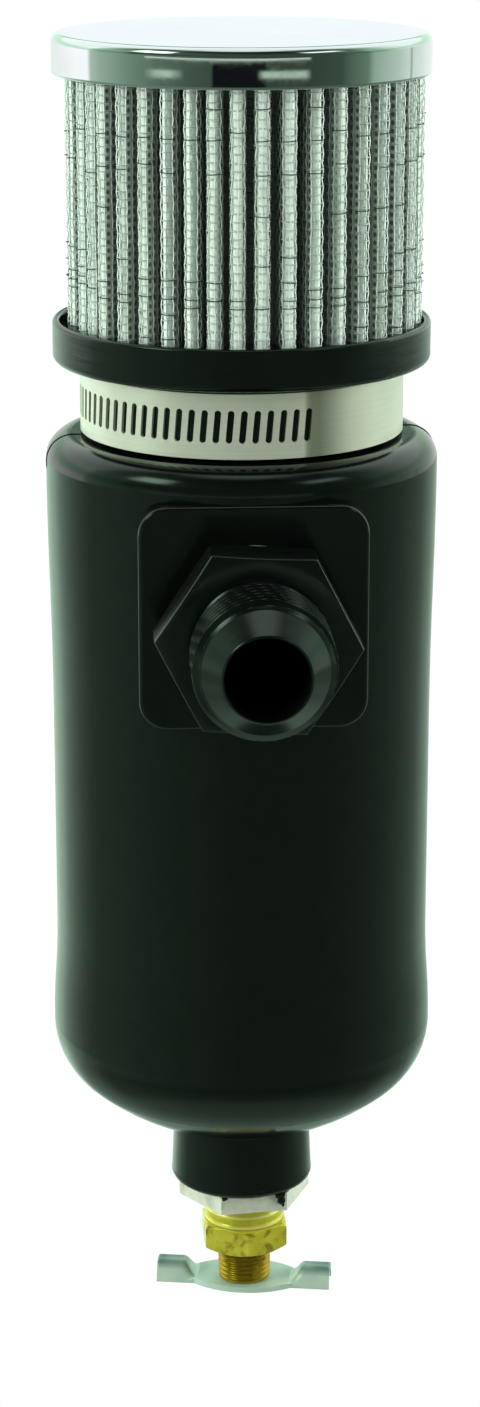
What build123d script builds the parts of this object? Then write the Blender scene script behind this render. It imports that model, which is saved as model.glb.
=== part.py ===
from build123d import *
import math
import os

# Oil catch can with a push-on breather filter, a flared inlet fitting and a drain cock.
# Millimetres. +Z is up along the tank's axis, the inlet points along -Y, and the origin
# is on the axis at the middle of the barrel's straight band, where a strap bracket holds it.

# ---------------------------------------------------------------- driving dimensions
# tank
wall = 3.0
barrel_r = 38.7            # straight band
band_half = 23.0           # half height of the straight band
shoulder_r = 39.4          # widest place under the shoulder
shoulder_z = 80.7          # flat top of the shoulder
shoulder_round = 5.2
knuckle_z = -45.0          # where the bottom starts to turn in
knuckle_r = 39.6
knuckle_round = 16.0
crown_round = 52.0
spout_r = 28.5
spout_bore_r = 25.5
spout_z = 95.0
neck_r = 14.4
neck_foot_r = 14.95
neck_z = -82.3
drain_shift = 0.6          # the drain insert sits a little to one side of the tank's axis

# inlet pad and fitting
pad_side = 44.4
pad_corner = 5.8
pad_face = 40.2            # distance of the pad's face from the axis
pad_z = 52.0
inlet_z = 51.15
hex_af = 34.2
hex_back = 47.0
hex_front = 57.5
hex_turn = -3.0
thread_r = 13.49           # 1-1/16 inch thread, crest radius
relief_r = 12.4
tip = 79.4
flare_angle = 37.0
flare_big_r = 12.0
flare_small_r = 8.3
inlet_bore_r = 7.8
pipe_r = 13.3
insert_r = 15.45
insert_depth = 25.5        # inner end of the inlet insert, from the axis

# drain
dhex_af = 24.5
dhex_z0 = -86.4
dhex_turn = 6.55
dins_r = 10.0
dins_top = -71.5
shank_r = 6.8
collar_r = 8.0
rim_r = 8.6
bhex_af = 17.46
bhex_z0 = -98.5
bhex_z1 = -92.5
bhex_turn = -28.45
stem_r = 5.65
fit_gap = 0.05             # running gap of the stem and the screw
plate_z = -106.6           # top of the handle's plate
plate_t = 1.2
plate_half = 7.1           # half width at the middle
plate_end = 10.5           # where the plate's curved sides run into the wings
wing_half = 3.7
wing_rise = 3.1
wing_tip = 18.8
handle_turn = -9.5

# filter
cap_r = 37.2
cap_z0 = 151.85
cap_z1 = 159.5
cap_t = 0.8
cap_round = 1.7
ring_r = 37.7
ring_z0 = 95.3
ring_z1 = 103.7
ring_rim = 1.5
floor_z = 98.3
lip_bore_r = 26.0
rneck_r = 31.75
rneck_z = 81.35
pleats = 42
crest_r = 35.5
crest_round = 1.6
valley_centre_r = 29.2
valley_round = 0.5
screen_t = 0.4
gauze_t = 0.5
pleat_z0 = floor_z
pleat_z1 = 153.6

# clamp
band_w = 12.7
band_z = 81.5
band_t = 0.6
band_in_r = 31.78
slot_pitch_deg = 4.53
slot_first_deg = -70.15
slot_len = 6.4
slot_w = 1.27
slot_lean = 5.0
screw_y = 36.5
screw_r = 3.3
house_half = 6.75
house_t = 0.58


# ---------------------------------------------------------------- helpers
def rz(r, z):
    return (r, 0, z)


def turned(start, *segs):
    """Solid of revolution about Z. A segment is an end point, or (middle, end) of an arc."""
    edges = []
    cur = start
    for s in segs:
        if isinstance(s[0], tuple):
            edges.append(ThreePointArc(rz(*cur), rz(*s[0]), rz(*s[1])))
            cur = s[1]
        else:
            edges.append(Line(rz(*cur), rz(*s)))
            cur = s
    if math.dist(cur, start) > 1e-6:
        edges.append(Line(rz(*cur), rz(*start)))
    return revolve(make_face(edges), Axis.Z, 360)


def arc(cx, cz, r, a0, a1):
    """(middle, end) of an arc about (cx, cz), angles in degrees."""
    m, e = math.radians((a0 + a1) / 2), math.radians(a1)
    return ((cx + r * math.cos(m), cz + r * math.sin(m)), (cx + r * math.cos(e), cz + r * math.sin(e)))


def ess(p0, p1):
    """Two equal arcs from p0 to p1, both ends parallel to Z."""
    (r0, z0), (r1, z1) = p0, p1
    dr, dz = (r1 - r0) / 2, (z1 - z0) / 2
    rho = (dz * dz + dr * dr) / (2 * abs(dr))
    half = math.asin(abs(dz) / rho) / 2
    s = math.copysign(1, dr)
    u = math.copysign(1, dz)
    bulge = s * rho * (1 - math.cos(half))
    step = u * rho * math.sin(half)
    mid = (r0 + dr, z0 + dz)
    return ((r0 + bulge, z0 + step), mid), ((r1 - bulge, z1 - step), p1)


def polar(r, deg, z=0.0):
    a = math.radians(deg)
    return (r * math.cos(a), r * math.sin(a), z)


def hex_bar(af, z0, z1, turn, cham_r=None, drop=None, both=True):
    """Hexagon bar along Z with its corners turned off to cones."""
    rc = af / math.sqrt(3)
    bar = extrude(Plane.XY.offset(z0) * Rot(0, 0, turn) * RegularPolygon(rc, 6), z1 - z0)
    if cham_r is not None:
        far = rc + 1.0
        d = drop * (far - cham_r) / (rc - cham_r)
        low = (cham_r, z0) if both else (far, z0)
        pts = [(0, z0), low] + ([(far, z0 + d)] if both else []) + [(far, z1 - d), (cham_r, z1), (0, z1)]
        bar = bar & turned(*pts)
    return bar


def pleated(d):
    """Closed pleated outline, d under the outermost surface: crest arc, flank, valley arc, flank."""
    rcr, rva = crest_r - crest_round, valley_centre_r
    a, g = crest_round - d, valley_round + d
    hp = math.pi / pleats
    # common inner tangent of the crest circle on angle 0 and the valley circle on angle +hp
    c = (rcr, 0.0)
    v = (rva * math.cos(hp), rva * math.sin(hp))
    dx, dy = v[0] - c[0], v[1] - c[1]
    dist = math.hypot(dx, dy)
    base = math.atan2(dy, dx)
    lean = math.acos((a + g) / dist)
    n = base - lean
    t1 = (c[0] + a * math.cos(n), c[1] + a * math.sin(n))
    t2 = (v[0] - g * math.cos(n), v[1] - g * math.sin(n))
    if t1[1] < 0:
        n = base + lean
        t1 = (c[0] + a * math.cos(n), c[1] + a * math.sin(n))
        t2 = (v[0] - g * math.cos(n), v[1] - g * math.sin(n))
    top = (rcr + a, 0.0)
    deep = ((rva - g) * math.cos(hp), (rva - g) * math.sin(hp))

    def turn(p, k, mirror=False):
        x, y = p[0], (-p[1] if mirror else p[1])
        th = 2 * hp * k
        return (x * math.cos(th) - y * math.sin(th), x * math.sin(th) + y * math.cos(th))

    edges = []
    for k in range(pleats):
        edges.append(ThreePointArc(turn(t1, k, True), turn(top, k), turn(t1, k)))
        edges.append(Line(turn(t1, k), turn(t2, k)))
        edges.append(ThreePointArc(turn(t2, k), turn(deep, k), turn(t2, k + 1, True)))
        edges.append(Line(turn(t2, k + 1, True), turn(t1, k + 1, True)))
    return Wire(edges)


def pleated_layer(d0, d1):
    outer = Face(pleated(d0), [pleated(d1)])
    return extrude(Pos(0, 0, pleat_z0) * outer, pleat_z1 - pleat_z0, dir=(0, 0, 1))


def save(name, shape):
    solids = shape.solids()
    out = solids[0] if len(solids) == 1 else Compound(children=list(solids))
    out.label = name
    export_step(out, os.path.join("parts", name + ".step"))


os.makedirs("parts", exist_ok=True)

# local frame of the inlet: its Z points along -Y, its Y along +Z
inlet = Plane(origin=(0, 0, inlet_z), x_dir=(1, 0, 0), z_dir=(0, -1, 0))
drain = Pos(drain_shift, 0, 0)

# ---------------------------------------------------------------- inserts
inlet_insert_blank = inlet * turned(
    (0, insert_depth), (insert_r, insert_depth), (insert_r, 29.5), (insert_r - 1.2, 30.2), (insert_r - 1.2, 33.3),
    (insert_r, 34.0), (insert_r, pad_face), (0, pad_face))
inlet_insert = inlet_insert_blank - inlet * Pos(0, 0, 20) * Cylinder(
    pipe_r + 0.02, 30, align=(Align.CENTER, Align.CENTER, Align.MIN))

drain_insert_blank = hex_bar(dhex_af, dhex_z0, neck_z, dhex_turn) + turned(
    (0, neck_z - 0.5), (dins_r, neck_z - 0.5), (dins_r, -79.6), (dins_r - 1, -79.0), (dins_r - 1, -76.2),
    (dins_r, -75.6), (dins_r, dins_top), (0, dins_top))
drain_insert_blank = drain * drain_insert_blank
drain_insert = drain_insert_blank - drain * Pos(0, 0, dhex_z0 - 1) * Cylinder(
    shank_r + 0.02, 20, align=(Align.CENTER, Align.CENTER, Align.MIN))

# ---------------------------------------------------------------- tank
def crown(kr, kround, cround):
    """Angle of the knuckle's end and the height of the crown's centre."""
    cx = kr - kround
    drop = math.sqrt((cround - kround) ** 2 - cx ** 2)
    return math.degrees(math.atan2(drop, cx)), knuckle_z + drop


k_ang, crown_cz = crown(knuckle_r, knuckle_round, crown_round)
dome_end = crown_cz - math.sqrt(crown_round ** 2 - neck_r ** 2)
a_end = -math.degrees(math.acos(neck_r / crown_round))
outer = turned(
    (0, spout_z), (spout_r - 0.6, spout_z), (spout_r, spout_z - 0.9), (spout_r, shoulder_z + 0.6),
    arc(spout_r + 0.6, shoulder_z + 0.6, 0.6, 180, 270),
    (shoulder_r - shoulder_round, shoulder_z),
    arc(shoulder_r - shoulder_round, shoulder_z - shoulder_round, shoulder_round, 90, 0),
    *ess((shoulder_r, shoulder_z - shoulder_round), (barrel_r, band_half)),
    (barrel_r, -band_half),
    *ess((barrel_r, -band_half), (knuckle_r, knuckle_z)),
    arc(knuckle_r - knuckle_round, knuckle_z, knuckle_round, 0, -k_ang),
    arc(0, crown_cz, crown_round, -k_ang, a_end),
    (neck_foot_r, neck_z + 2.0),
    ((neck_foot_r - 0.35, neck_z + 0.5), (neck_foot_r - 1.3, neck_z)),
    (0, neck_z))
outer = fillet([e for e in outer.edges().filter_by(GeomType.CIRCLE)
                if abs(e.radius - neck_r) < 0.01 and abs(e.center().Z - dome_end) < 0.05], 1.2)

in_round = shoulder_round - 1.5
k_in, crown_in = crown(knuckle_r - wall, knuckle_round - wall, crown_round - wall)
bore_low = shank_r - 0.8
cavity = turned(
    (0, spout_z + 1), (spout_bore_r, spout_z + 1), (spout_bore_r, shoulder_z - wall + 1.5),
    arc(spout_bore_r + 1.5, shoulder_z - wall + 1.5, 1.5, 180, 270),
    (shoulder_r - wall - in_round, shoulder_z - wall),
    arc(shoulder_r - wall - in_round, shoulder_z - wall - in_round, in_round, 90, 0),
    *ess((shoulder_r - wall, shoulder_z - wall - in_round), (barrel_r - wall, band_half)),
    (barrel_r - wall, -band_half),
    *ess((barrel_r - wall, -band_half), (knuckle_r - wall, knuckle_z)),
    arc(knuckle_r - knuckle_round, knuckle_z, knuckle_round - wall, 0, -k_in),
    arc(0, crown_in, crown_round - wall, -k_in, -math.degrees(math.acos(bore_low / (crown_round - wall)))),
    (bore_low, dins_top - 0.01), (0, dins_top - 0.01))

pad = Plane(origin=(0, -20, pad_z), x_dir=(1, 0, 0), z_dir=(0, -1, 0)) * extrude(
    RectangleRounded(pad_side, pad_side, pad_corner), pad_face - 20)
pad = fillet(pad.faces().sort_by(Axis.Y)[0].edges(), 0.9)
boss = inlet * Pos(0, 0, insert_depth) * Cylinder(insert_r + 3, 12, align=(Align.CENTER, Align.CENTER, Align.MIN))
tank_body = (outer + pad) - cavity + boss - inlet_insert_blank - drain_insert_blank

# ---------------------------------------------------------------- inlet fitting
flare_z = tip - (flare_big_r - flare_small_r) / math.tan(math.radians(flare_angle))
fit_hex = hex_bar(hex_af, hex_back, hex_front, hex_turn, 16.7, 0.95)
fit_round = turned(
    (inlet_bore_r, insert_depth - 0.5), (pipe_r - 0.8, insert_depth - 0.5), (pipe_r, insert_depth + 0.6), (pipe_r, hex_back + 1),
    (relief_r, hex_back + 1), (relief_r, hex_front + 2.4), (thread_r, hex_front + 3.5), (thread_r, flare_z - 1.3),
    (flare_big_r, flare_z), (flare_small_r + 0.25, tip - 0.3), (flare_small_r - 0.1, tip),
    (inlet_bore_r + 0.1, tip), (inlet_bore_r, tip - 0.2))
fit_hex = fit_hex - Pos(0, 0, hex_back - 1) * Cylinder(inlet_bore_r, 20, align=(Align.CENTER, Align.CENTER, Align.MIN))
inlet_fitting = inlet * (fit_hex + fit_round)

# ---------------------------------------------------------------- drain cock
seat_z = -87.0
seat_r = 4.2
port_r = 2.5
body_round = turned(
    (0, -73.5), (shank_r - 0.9, -73.5), (shank_r, -75.0), (shank_r, dhex_z0), (collar_r, dhex_z0), (collar_r, -88.3),
    ((collar_r + 0.14, -89.0), (rim_r - 0.15, -89.5)), ((rim_r - 0.04, -89.62), (rim_r, -89.8)), (rim_r, -91.0),
    ((rim_r - 0.28, -91.3), (rim_r, -91.6)), (rim_r, bhex_z1 - 1), (0, bhex_z1 - 1))
body_hex = hex_bar(bhex_af, bhex_z0, bhex_z1, bhex_turn, 8.45, 0.85)
drain_body = body_round + body_hex - turned(
    (0, bhex_z0 - 1), (stem_r + fit_gap, bhex_z0 - 1), (stem_r + fit_gap, seat_z), (seat_r, seat_z),
    (port_r, seat_z + seat_r - port_r), (port_r, -72), (0, -72))
drain_body = drain * drain_body

tip_gap = 0.08
neck_low = -91.5
stem = turned(
    (0, plate_z - plate_t - 0.6), (4.2, plate_z - plate_t - 0.6), (4.4, plate_z - plate_t - 0.45),
    (4.4, plate_z - plate_t - fit_gap), (3.55, plate_z - plate_t - fit_gap), (3.55, plate_z + 0.03),
    (stem_r - 0.3, plate_z + 0.03), (stem_r, plate_z + 0.4), (stem_r, neck_low - 1.0), (4.1, neck_low), (4.1, seat_z - 0.02),
    (2.5, seat_z + 1.58), (0, seat_z + 1.58))
stem = stem - Pos(0, 0, -110) * Cylinder(2.0, 20.6, align=(Align.CENTER, Align.CENTER, Align.MIN))
stem = stem - Pos(0, 0, neck_low + 1.6) * Rot(90, 0, 0) * Cylinder(1.3, 12)
drain_stem = drain * stem

n_side = 8
def wing_section(x, rise):
    """Section of the pressed wing at x: an arched strip of even thickness."""
    low, high = [], []
    for i in range(-n_side, n_side + 1):
        u = i / n_side
        y = u * (wing_half - 0.25 * rise / wing_rise * abs(u) ** 3)
        z = rise * (1 - abs(u) ** 2.6)
        slope = -rise * 2.6 * abs(u) ** 1.6 * math.copysign(1, u) / wing_half if u else 0.0
        k = math.hypot(1, slope)
        low.append((x, y, plate_z - plate_t + z))
        high.append((x, y - slope / k * plate_t, plate_z - plate_t + z + plate_t / k))
    return Polyline(*low, *reversed(high), close=True)


def wing(sign):
    stations = [(6.0, 0.0), (9.4, 0.0), (10.3, 0.12), (11.2, 0.38), (12.0, 0.68), (12.7, 0.90), (13.5, 1.0), (wing_tip, 1.0)]
    faces = [make_face(wing_section(sign * x, f * wing_rise)) for x, f in stations]
    return loft(faces, ruled=True)


plate = Pos(0, 0, plate_z - plate_t) * extrude(make_face([
    ThreePointArc((-plate_end, wing_half), (0, plate_half), (plate_end, wing_half)), Line((plate_end, wing_half), (plate_end, -wing_half)),
    ThreePointArc((plate_end, -wing_half), (0, -plate_half), (-plate_end, -wing_half)), Line((-plate_end, -wing_half), (-plate_end, wing_half))]), plate_t)
handle = plate + wing(1) + wing(-1)
handle = handle - Pos(0, 0, plate_z - plate_t - 1) * Cylinder(3.6, 4, align=(Align.CENTER, Align.CENTER, Align.MIN))
drain_handle = drain * Rot(0, 0, handle_turn) * handle

# ---------------------------------------------------------------- breather filter
filter_cap = turned(
    (0, cap_z1), (cap_r - cap_round, cap_z1), arc(cap_r - cap_round, cap_z1 - cap_round, cap_round, 90, 0), (cap_r, cap_z0),
    (cap_r - cap_t, cap_z0), (cap_r - cap_t, cap_z1 - cap_round),
    arc(cap_r - cap_round, cap_z1 - cap_round, cap_round - cap_t, 0, 90), (0, cap_z1 - cap_t))
top_seal = turned(
    (24.0, pleat_z1), (cap_r - cap_t - 0.05, pleat_z1), (cap_r - cap_t - 0.05, cap_z1 - 2.4), (cap_r - 2.6, cap_z1 - cap_t - 0.05),
    (24.0, cap_z1 - cap_t - 0.05))
outer_wire_screen = pleated_layer(0.0, screen_t)
cotton_gauze = pleated_layer(screen_t, screen_t + gauze_t)
inner_wire_screen = pleated_layer(screen_t + gauze_t, 2 * screen_t + gauze_t)

rim_in = ring_r - ring_rim
lip = ring_rim / 2
filter_base = turned(
    (spout_r + 0.02, rneck_z), (rneck_r, rneck_z), (rneck_r, ring_z0), (ring_r - 1.5, ring_z0),
    arc(ring_r - 1.5, ring_z0 + 1.5, 1.5, -90, 0), (ring_r, ring_z1 - lip),
    arc(ring_r - lip, ring_z1 - lip, lip, 0, 180), (rim_in, floor_z), (lip_bore_r, floor_z), (lip_bore_r, ring_z0),
    (spout_r + 0.02, ring_z0))

# ---------------------------------------------------------------- hose clamp
lap = band_t + 0.05
a_start, a_ramp0, a_ramp1, a_tail = 103.0, -228.0, -254.0, -314.0


def band_side(off):
    """Edges of one side of the wound band, from its fixed end to its tail."""
    r0, r1 = band_in_r + off, band_in_r + lap + off
    rm = (r0 + r1) / 2
    return [
        ThreePointArc(polar(r0, a_start), polar(r0, (a_start + a_ramp0) / 2), polar(r0, a_ramp0)),
        ThreePointArc(polar(r0, a_ramp0), polar(rm, (a_ramp0 + a_ramp1) / 2), polar(r1, a_ramp1)),
        ThreePointArc(polar(r1, a_ramp1), polar(r1, (a_ramp1 + a_tail) / 2), polar(r1, a_tail)),
    ]


r1 = band_in_r + lap
band_face = make_face(
    band_side(0.0) + band_side(band_t)
    + [Line(polar(band_in_r, a_start), polar(band_in_r + band_t, a_start)), Line(polar(r1, a_tail), polar(r1 + band_t, a_tail))])
band = extrude(Pos(0, 0, band_z) * band_face, band_w, dir=(0, 0, 1))
cutters = []
k = 0
while True:
    ang = slot_first_deg - k * slot_pitch_deg
    k += 1
    if ang < a_tail + 12:
        break
    r_low = band_in_r - 0.4
    if ang < a_ramp1 + 2:
        r_low = band_in_r + band_t + 0.02
    elif ang < a_ramp0:
        r_low = band_in_r - 0.2
    d = polar(1, ang)
    pl = Plane(origin=polar(r_low, ang, band_z + band_w / 2), x_dir=(-d[1], d[0], 0), z_dir=(d[0], d[1], 0))
    cutters.append(pl * Rot(0, 0, 90 - slot_lean) * extrude(SlotOverall(slot_len, slot_w), 2.2))
clamp_band = band - cutters

zc = band_z + band_w / 2
yz = Plane(origin=(0, 0, 0), x_dir=(0, 1, 0), z_dir=(1, 0, 0))


def yz_box(y0, y1, z0, z1):
    return Pos((y0 + y1) / 2, (z0 + z1) / 2) * Rectangle(y1 - y0, z1 - z0)


leg_y = rneck_r + 0.12
band_top = band_in_r + lap + band_t
hz0, hz1 = band_z - house_t, band_z + band_w + house_t
bar_r = screw_r + 0.45 + house_t + 0.2
skirt = make_face(Polyline((leg_y, hz0), (34.4, hz0), (36.0, zc - bar_r), (36.0, zc + bar_r), (34.4, hz1), (leg_y, hz1), close=True))
shell = skirt + Pos(screw_y, zc) * Circle(bar_r)
hollow = yz_box(30, band_top + 0.12, band_z - 0.02, band_z + band_w + 0.02)
worm_room = Pos(screw_y, zc) * Circle(screw_r + 0.3) + yz_box(band_top, screw_y, zc - screw_r - 0.3, zc + screw_r + 0.3)
housing = yz * Pos(0, 0, -house_half) * extrude(shell, 2 * house_half)
housing -= yz * Pos(0, 0, -house_half - 1) * extrude(hollow, 2 * house_half + 2)
housing -= yz * Pos(0, 0, -house_half + 0.8) * extrude(worm_room, 2 * house_half - 1.6)
neck_sr, pilot_r = 2.5, 2.0
housing -= yz * Pos(screw_y, zc, -house_half - 1) * Cylinder(neck_sr + fit_gap, 3, align=(Align.CENTER, Align.CENTER, Align.MIN))
housing -= yz * Pos(screw_y, zc, house_half - 2) * Cylinder(pilot_r + fit_gap, 3, align=(Align.CENTER, Align.CENTER, Align.MIN))
clamp_housing = housing

worm_half = house_half - 0.95
head_x = -house_half - 0.15
screw = turned(
    (0, house_half + 0.6), (pilot_r - 0.3, house_half + 0.6), (pilot_r, house_half + 0.3), (pilot_r, worm_half), (screw_r - 0.5, worm_half),
    (screw_r, worm_half - 0.5), (screw_r, -worm_half + 0.5), (screw_r - 0.5, -worm_half), (neck_sr, -worm_half), (neck_sr, head_x),
    (3.9, head_x), (3.9, head_x - 0.9), (0, head_x - 0.9))
head = hex_bar(7.0, head_x - 4.8, head_x - 0.5, 0, 3.3, 0.45)
head -= Pos(0, 0, head_x - 4.8) * Box(1.3, 12, 3.0)
clamp_screw = yz * Pos(screw_y, zc, 0) * (screw + head)

# ---------------------------------------------------------------- files
for name, shape in (
    ("filter_cap", filter_cap), ("top_seal", top_seal), ("outer_wire_screen", outer_wire_screen),
    ("cotton_gauze", cotton_gauze), ("inner_wire_screen", inner_wire_screen), ("filter_base", filter_base),
    ("clamp_band", clamp_band), ("clamp_housing", clamp_housing), ("clamp_screw", clamp_screw),
    ("tank_body", tank_body), ("inlet_insert", inlet_insert), ("inlet_fitting", inlet_fitting),
    ("drain_insert", drain_insert), ("drain_body", drain_body), ("drain_stem", drain_stem),
    ("drain_handle", drain_handle),
):
    save(name, shape)
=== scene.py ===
import bpy, math, random
from mathutils import Vector, Matrix


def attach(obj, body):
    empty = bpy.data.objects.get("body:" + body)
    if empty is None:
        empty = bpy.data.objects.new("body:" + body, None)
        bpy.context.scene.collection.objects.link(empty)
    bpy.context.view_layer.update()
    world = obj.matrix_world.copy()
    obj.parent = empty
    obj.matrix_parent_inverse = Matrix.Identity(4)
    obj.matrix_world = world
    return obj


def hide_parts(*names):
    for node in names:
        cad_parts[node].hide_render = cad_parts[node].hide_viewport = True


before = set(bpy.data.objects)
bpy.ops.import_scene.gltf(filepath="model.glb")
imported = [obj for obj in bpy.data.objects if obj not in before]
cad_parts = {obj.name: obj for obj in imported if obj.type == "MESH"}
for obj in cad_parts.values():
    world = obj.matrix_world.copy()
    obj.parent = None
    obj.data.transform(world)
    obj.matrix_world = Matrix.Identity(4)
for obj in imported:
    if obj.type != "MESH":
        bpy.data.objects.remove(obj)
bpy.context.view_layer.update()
MM = 0.001
rad = math.radians


# ------------------------------------------------------------------ mesh helpers
def finish_mesh(name, verts, faces, mat, angle=32.0, bevel=None):
    me = bpy.data.meshes.new(name)
    me.from_pydata([(x * MM, y * MM, z * MM) for x, y, z in verts], [], faces)
    me.validate()
    me.update()
    for p in me.polygons:
        p.use_smooth = True
    me.set_sharp_from_angle(angle=rad(angle))
    me.materials.append(mat)
    ob = bpy.data.objects.new(name, me)
    bpy.context.scene.collection.objects.link(ob)
    if bevel:
        m = ob.modifiers.new("edge", "BEVEL")
        m.width = bevel * MM
        m.segments = 2
        m.limit_method = "ANGLE"
        m.angle_limit = rad(28)
        m.harden_normals = False
    return ob


def weld(verts, faces, tol=1e-4):
    """Merges points that coincide and drops faces that lose their area."""
    seen, remap, out = {}, [], []
    for v in verts:
        k = tuple(round(c / tol) for c in v)
        if k not in seen:
            seen[k] = len(out)
            out.append(v)
        remap.append(seen[k])
    fs = []
    for f in faces:
        g = []
        for i in f:
            j = remap[i]
            if not g or g[-1] != j:
                g.append(j)
        if len(g) > 1 and g[0] == g[-1]:
            g.pop()
        if len(set(g)) == len(g) and len(g) >= 3:
            fs.append(tuple(g))
    return out, fs


def rings(loops, closed_path=True):
    """Quads through a list of equal closed loops of points."""
    n = len(loops[0])
    verts = [p for l in loops for p in l]
    faces = []
    m = len(loops)
    for i in range(m if closed_path else m - 1):
        a, b = i * n, ((i + 1) % m) * n
        for j in range(n):
            k = (j + 1) % n
            faces.append((a + j, a + k, b + k, b + j))
    return verts, faces


def lathe(profile, seg=256, place=None, closed=True, start=0.0):
    """Turned surface. A profile point is (r, z), and either may be a function of the angle in radians."""
    loops = []
    for r, z in profile:
        loop = []
        for j in range(seg):
            a = rad(start) + 2 * math.pi * j / seg
            rr = r(a) if callable(r) else r
            zz = z(a) if callable(z) else z
            p = (rr * math.cos(a), rr * math.sin(a), zz)
            loop.append(place(p) if place else p)
        loops.append(loop)
    v, f = rings(loops, closed)
    return weld(v, f)


def arc_pts(cx, cz, r, a0, a1, n):
    return [(cx + r * math.cos(rad(a0 + (a1 - a0) * i / n)), cz + r * math.sin(rad(a0 + (a1 - a0) * i / n))) for i in range(n + 1)]


def hex_radius(af, turn):
    """Radius of a hexagon's outline, as a function of the angle in radians."""
    def f(a):
        t = math.degrees(a) - turn
        return af / 2 / math.cos(rad((t % 60.0) - 30.0))
    return f


def hex_profile(af, turn, z0, z1, r_in0, r_in1, cham_r, drop, soft=0.3):
    """Profile of a hexagon bar with turned-off corners and softened edges, from (r_in0, z0) round the outside to (r_in1, z1)."""
    rc = af / math.sqrt(3)
    hr = hex_radius(af, turn)
    slope = drop / (rc - cham_r)
    inn = math.hypot(1.0, slope)

    def edge(t, low):
        """Point at t of a small curve from the chamfer over the edge on to the flat."""
        w0, w1, w2 = (1 - t) ** 2, 2 * t * (1 - t), t * t
        sg = 1 if low else -1

        def e(a):
            h = hr(a)
            d = max(0.0, h - cham_r)
            k = min(soft, d * inn * 0.6)
            return h, (z0 if low else z1) + sg * d * slope, k

        def r(a):
            h, z, k = e(a)
            return h - w0 * k / inn

        def zz(a):
            h, z, k = e(a)
            return z - sg * w0 * k * slope / inn + sg * w2 * soft
        return r, zz

    ts = (0.0, 0.25, 0.5, 0.75, 1.0)
    prof = [(r_in0, z0), (lambda a: min(cham_r, hr(a)) - 0.02, z0)]
    prof += [edge(t, True) for t in ts] + [edge(t, False) for t in reversed(ts)]
    prof += [(lambda a: min(cham_r, hr(a)) - 0.02, z1), (r_in1, z1)]
    return prof


# ------------------------------------------------------------------ material helpers
class Mat:
    """A principled material whose inputs are fed by textures."""

    def __init__(self, name):
        self.m = bpy.data.materials.new(name)
        self.m.use_nodes = True
        self.t = self.m.node_tree
        self.b = self.t.nodes["Principled BSDF"]
        self.tc = self.t.nodes.new("ShaderNodeTexCoord")

    def node(self, kind, **kw):
        n = self.t.nodes.new(kind)
        for k, v in kw.items():
            setattr(n, k, v)
        return n

    def link(self, a, b):
        self.t.links.new(a, b)

    def coords(self, scale=(1, 1, 1), rot=(0, 0, 0)):
        mp = self.node("ShaderNodeMapping")
        mp.inputs["Scale"].default_value = scale
        mp.inputs["Rotation"].default_value = rot
        self.link(self.tc.outputs["Object"], mp.inputs["Vector"])
        return mp.outputs["Vector"]

    def noise(self, scale, detail=3.0, rough=0.55, vec=None, distort=0.0):
        n = self.node("ShaderNodeTexNoise")
        n.inputs["Scale"].default_value = scale
        n.inputs["Detail"].default_value = detail
        n.inputs["Roughness"].default_value = rough
        n.inputs["Distortion"].default_value = distort
        self.link(vec if vec is not None else self.coords(), n.inputs["Vector"])
        return n.outputs["Fac"]

    def ramp(self, fac, stops, interp="LINEAR"):
        r = self.node("ShaderNodeValToRGB")
        r.color_ramp.interpolation = interp
        e = r.color_ramp.elements
        while len(e) < len(stops):
            e.new(0.5)
        for el, (p, c) in zip(e, stops):
            el.position = p
            el.color = (*c, 1.0) if isinstance(c, tuple) else (c, c, c, 1.0)
        self.link(fac, r.inputs["Fac"])
        return r.outputs["Color"]

    def mix(self, fac, a, b, mode="MIX"):
        n = self.node("ShaderNodeMix", data_type="RGBA", blend_type=mode)
        for sock, v in ((n.inputs[0], fac), (n.inputs[6], a), (n.inputs[7], b)):
            if hasattr(v, "links"):
                self.link(v, sock)
            elif isinstance(v, tuple):
                sock.default_value = (*v, 1.0)
            else:
                sock.default_value = v
        return n.outputs[2]

    def math(self, op, a, b=None, c=None):
        n = self.node("ShaderNodeMath", operation=op)
        for i, v in enumerate((a, b, c)):
            if v is None:
                continue
            if hasattr(v, "links"):
                self.link(v, n.inputs[i])
            else:
                n.inputs[i].default_value = v
        return n.outputs[0]

    def bump(self, height, dist, strength=1.0, normal=None):
        n = self.node("ShaderNodeBump")
        n.inputs["Strength"].default_value = strength
        n.inputs["Distance"].default_value = dist
        self.link(height, n.inputs["Height"])
        if normal is not None:
            self.link(normal, n.inputs["Normal"])
        self.link(n.outputs["Normal"], self.b.inputs["Normal"])
        return n.outputs["Normal"]

    def set(self, **kw):
        for k, v in kw.items():
            s = self.b.inputs[k.replace("_", " ")]
            if hasattr(v, "links"):
                self.link(v, s)
            elif isinstance(v, tuple):
                s.default_value = (*v, 1.0)
            else:
                s.default_value = v
        return self

    def split(self):
        s = self.node("ShaderNodeSeparateXYZ")
        self.link(self.tc.outputs["Object"], s.inputs[0])
        return s.outputs[0], s.outputs[1], s.outputs[2]


def mat_chrome():
    k = Mat("chrome_cap")
    n = k.noise(55.0, 2.0)
    f = k.noise(900.0, 3.0)
    k.set(Metallic=1.0, Base_Color=k.ramp(n, [(0.3, (0.60, 0.635, 0.645)), (0.7, (0.66, 0.69, 0.70))]),
          Roughness=k.ramp(f, [(0.3, 0.03), (0.75, 0.07)]))
    k.bump(n, 0.00002, 0.35)
    return k.m


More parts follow.
